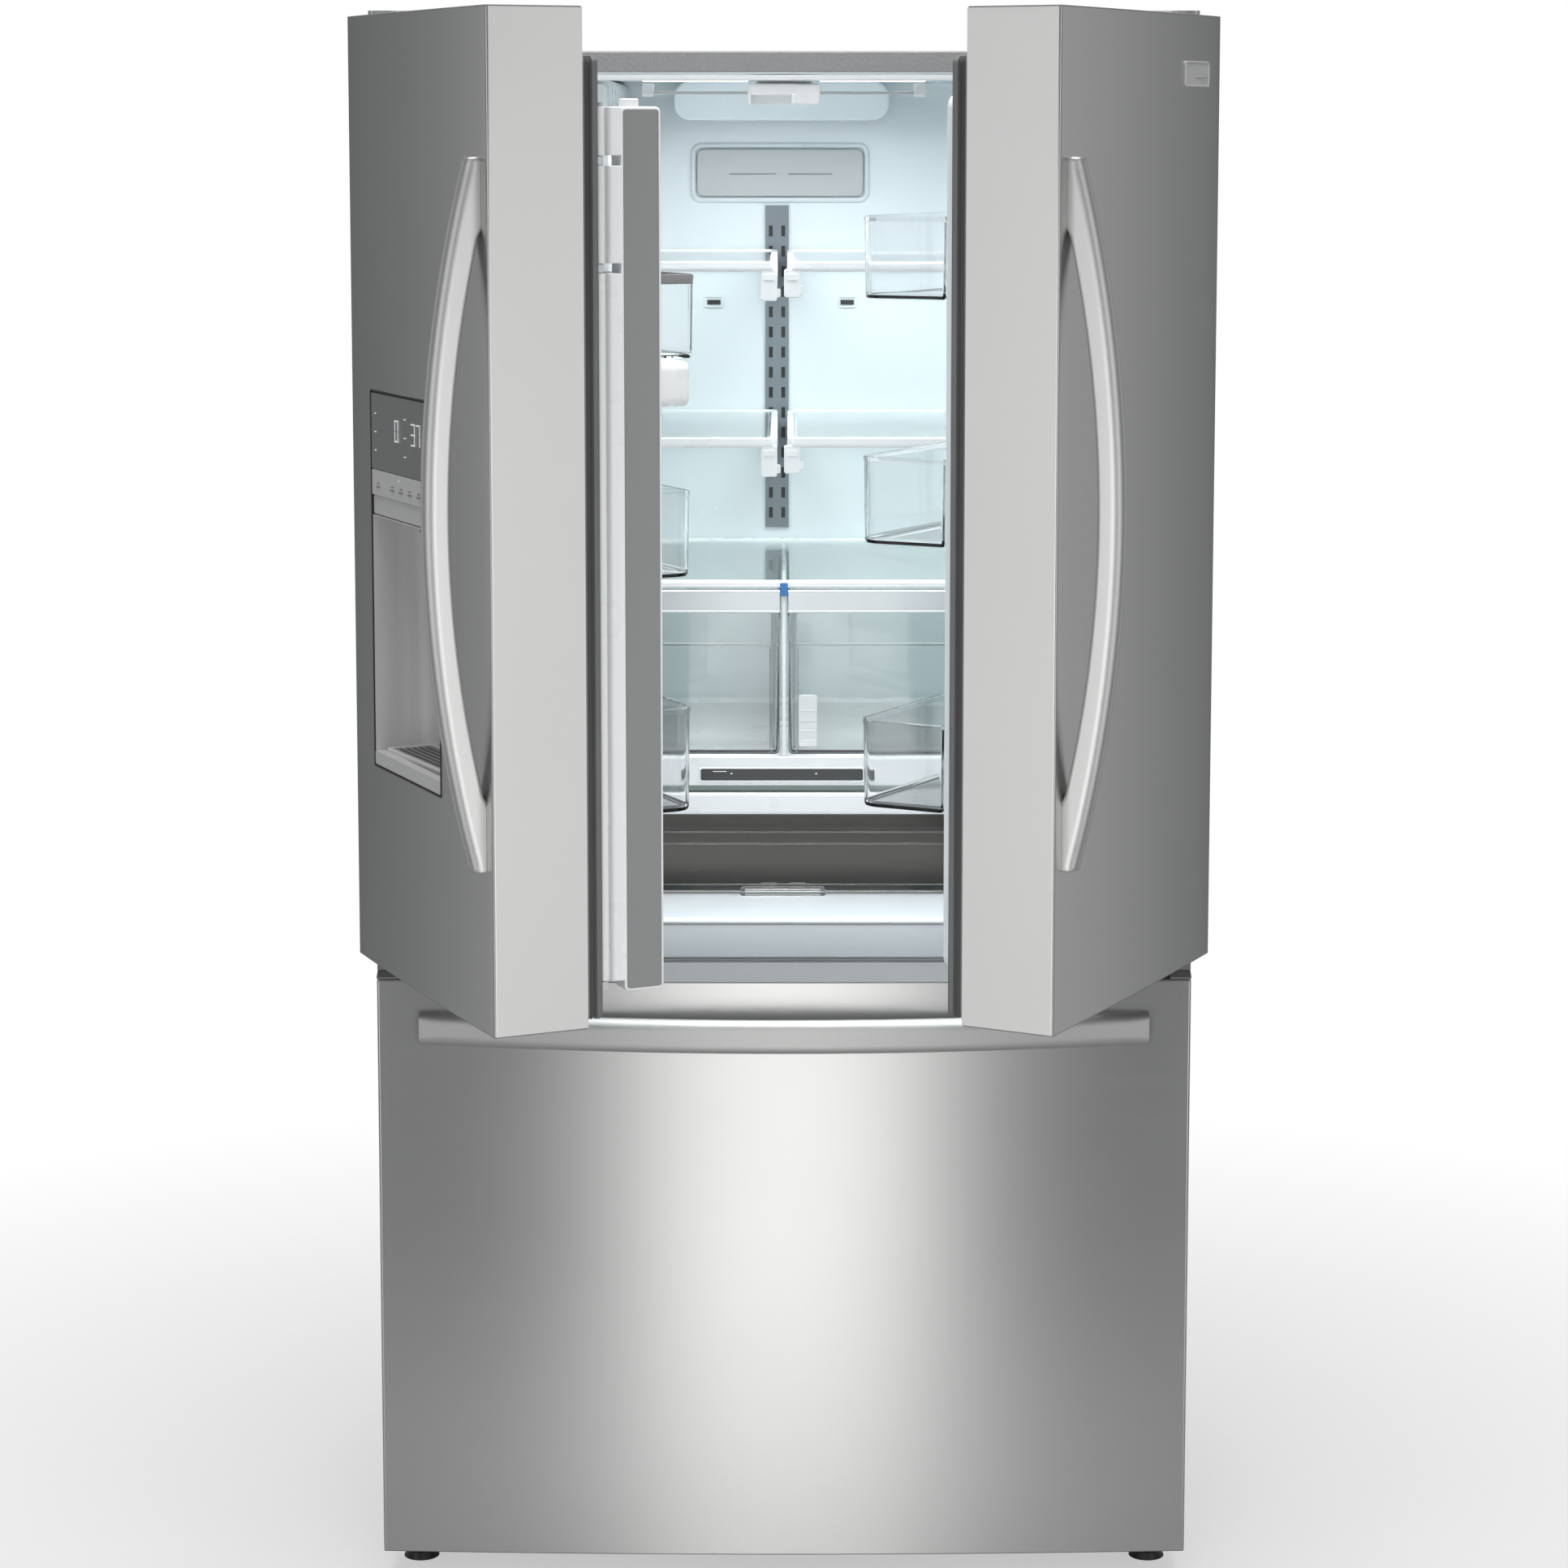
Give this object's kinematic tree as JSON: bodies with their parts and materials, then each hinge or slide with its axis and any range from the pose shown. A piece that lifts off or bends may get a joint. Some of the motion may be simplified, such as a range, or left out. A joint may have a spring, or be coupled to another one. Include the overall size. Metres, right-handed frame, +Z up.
{
  "type": "french door refrigerator",
  "caption": "Wide upright refrigerator with two side-hinged upper doors, a water and ice dispenser, folding mullion, glass shelves, clear drawers and a bottom freezer drawer.",
  "frame": {"origin": "on the floor under the middle of the footprint, with the doors in the stored half-open pose", "axes": "+X to the right of a person facing the doors, +Y towards the back, +Z up"},
  "size_m": [0.9578, 1.2172, 1.7847],
  "materials": {
    "textured_grey_steel": "textured",
    "brushed_stainless": "brushed",
    "satin_handle": "satin",
    "galvanised": "satin",
    "black_steel": "satin",
    "insulation_foam": "matte",
    "liner_plastic": "satin",
    "door_core": "satin",
    "grey_rubber": "matte",
    "black_plastic": "matte",
    "grey_plastic": "satin",
    "silver_plastic": "satin",
    "white_plastic": "satin",
    "clear_plastic": "clear",
    "smoke_plastic": "clear",
    "shelf_glass": "clear",
    "black_glass": "gloss",
    "display_glass": "gloss",
    "aluminium_fins": "satin",
    "copper_black": "satin",
    "badge_metal": "satin",
    "brass_thread": "satin"
  },
  "bodies": {
    "cabinet": {"outer_cabinet": "textured_grey_steel", "rear_panels": "galvanised", "cabinet_insulation": "insulation_foam", "fridge_liner": "liner_plastic", "freezer_liner": "liner_plastic", "centre_rail": "textured_grey_steel", "door_hinges": "galvanised", "hinge_covers": "grey_plastic", "base_frame": "black_steel", "levelling_feet": "black_plastic", "compressor": "black_steel", "condenser_coil": "copper_black", "condenser_fan_motor": "galvanised", "drain_pan": "black_plastic", "evaporator_coil": "aluminium_fins", "evaporator_cover": "white_plastic", "water_inlet_valve": "brass_thread", "shelf_ladders": "galvanised", "shelf_frames": "white_plastic", "shelf_glass": "shelf_glass", "ceiling_light": "white_plastic", "mullion_guide": "white_plastic", "air_filter_cover": "brushed_stainless", "ice_maker": "white_plastic", "crisper_cover": "white_plastic", "pantry_deck": "white_plastic", "temperature_panel": "black_glass", "freezer_rails": "galvanised"},
    "left_door": {"left_door_skin": "brushed_stainless", "left_door_liner": "door_core", "left_door_gasket": "grey_rubber", "left_door_handle": "satin_handle", "left_door_bins": "clear_plastic", "dispenser_housing": "silver_plastic", "display_panel": "display_glass", "drip_tray": "silver_plastic", "mullion_hinges": "white_plastic"},
    "right_door": {"right_door_skin": "brushed_stainless", "right_door_liner": "door_core", "right_door_gasket": "grey_rubber", "right_door_handle": "satin_handle", "right_door_bins": "clear_plastic", "badge": "badge_metal"},
    "mullion": {"mullion_body": "white_plastic", "mullion_face": "textured_grey_steel"},
    "dispenser_paddle": {"dispenser_paddle": "grey_plastic"},
    "crisper_left": {"crisper_left": "clear_plastic"},
    "crisper_right": {"crisper_right": "clear_plastic"},
    "humidity_shutter": {"humidity_shutter": "white_plastic"},
    "pantry_drawer": {"pantry_drawer": "smoke_plastic"},
    "freezer_drawer": {"drawer_skin": "brushed_stainless", "drawer_liner": "door_core", "drawer_gasket": "grey_rubber", "drawer_handle": "satin_handle", "drawer_slides": "galvanised", "freezer_basket": "white_plastic"},
    "rear_roller_left": {"rear_roller_left": "black_plastic"},
    "rear_roller_right": {"rear_roller_right": "black_plastic"},
    "condenser_fan": {"condenser_fan": "black_plastic"},
    "evaporator_fan": {"evaporator_fan": "black_plastic"}
  },
  "joints": [
    {"name": "left_door_hinge", "type": "hinge", "parent": "cabinet", "child": "left_door", "pos_m": [-0.447, -0.1767, 1.25], "axis": [0, 0, -1], "range_deg": [-64.6, 55.4]},
    {"name": "right_door_hinge", "type": "hinge", "parent": "cabinet", "child": "right_door", "pos_m": [0.447, -0.1767, 1.25], "axis": [0, 0, 1], "range_deg": [-61.8, 58.2]},
    {"name": "mullion_fold", "type": "hinge", "parent": "left_door", "child": "mullion", "pos_m": [-0.18695, -0.51152, 1.22], "axis": [0, 0, 1], "range_deg": [-90, 0]},
    {"name": "dispenser_paddle_press", "type": "hinge", "parent": "left_door", "child": "dispenser_paddle", "pos_m": [-0.35906, -0.33089, 1.206], "axis": [0.4289, -0.9033, 0], "range_deg": [0, 7], "stiffness_Nm_per_rad": 0.6, "springref_deg": -5.73},
    {"name": "crisper_left_slide", "type": "slide", "parent": "cabinet", "child": "crisper_left", "axis": [0, -1, 0], "range_m": [0, 0.14]},
    {"name": "crisper_right_slide", "type": "slide", "parent": "cabinet", "child": "crisper_right", "axis": [0, -1, 0], "range_m": [0, 0.14]},
    {"name": "humidity_shutter_slide", "type": "slide", "parent": "crisper_right", "child": "humidity_shutter", "axis": [0, 0, 1], "range_m": [0, 0.03]},
    {"name": "pantry_drawer_slide", "type": "slide", "parent": "cabinet", "child": "pantry_drawer", "axis": [0, -1, 0], "range_m": [0, 0.16]},
    {"name": "freezer_drawer_slide", "type": "slide", "parent": "cabinet", "child": "freezer_drawer", "axis": [0, -1, 0], "range_m": [0, 0.42]},
    {"name": "rear_roller_left_spin", "type": "hinge", "parent": "cabinet", "child": "rear_roller_left", "pos_m": [-0.41, 0.5326, 0.02], "axis": [1, 0, 0], "continuous": true},
    {"name": "rear_roller_right_spin", "type": "hinge", "parent": "cabinet", "child": "rear_roller_right", "pos_m": [0.41, 0.5326, 0.02], "axis": [1, 0, 0], "continuous": true},
    {"name": "condenser_fan_spin", "type": "hinge", "parent": "cabinet", "child": "condenser_fan", "pos_m": [-0.06, 0.4826, 0.16], "axis": [1, 0, 0], "continuous": true},
    {"name": "evaporator_fan_spin", "type": "hinge", "parent": "cabinet", "child": "evaporator_fan", "pos_m": [0, 0.4926, 0.59], "axis": [0, 1, 0], "continuous": true}
  ]
}
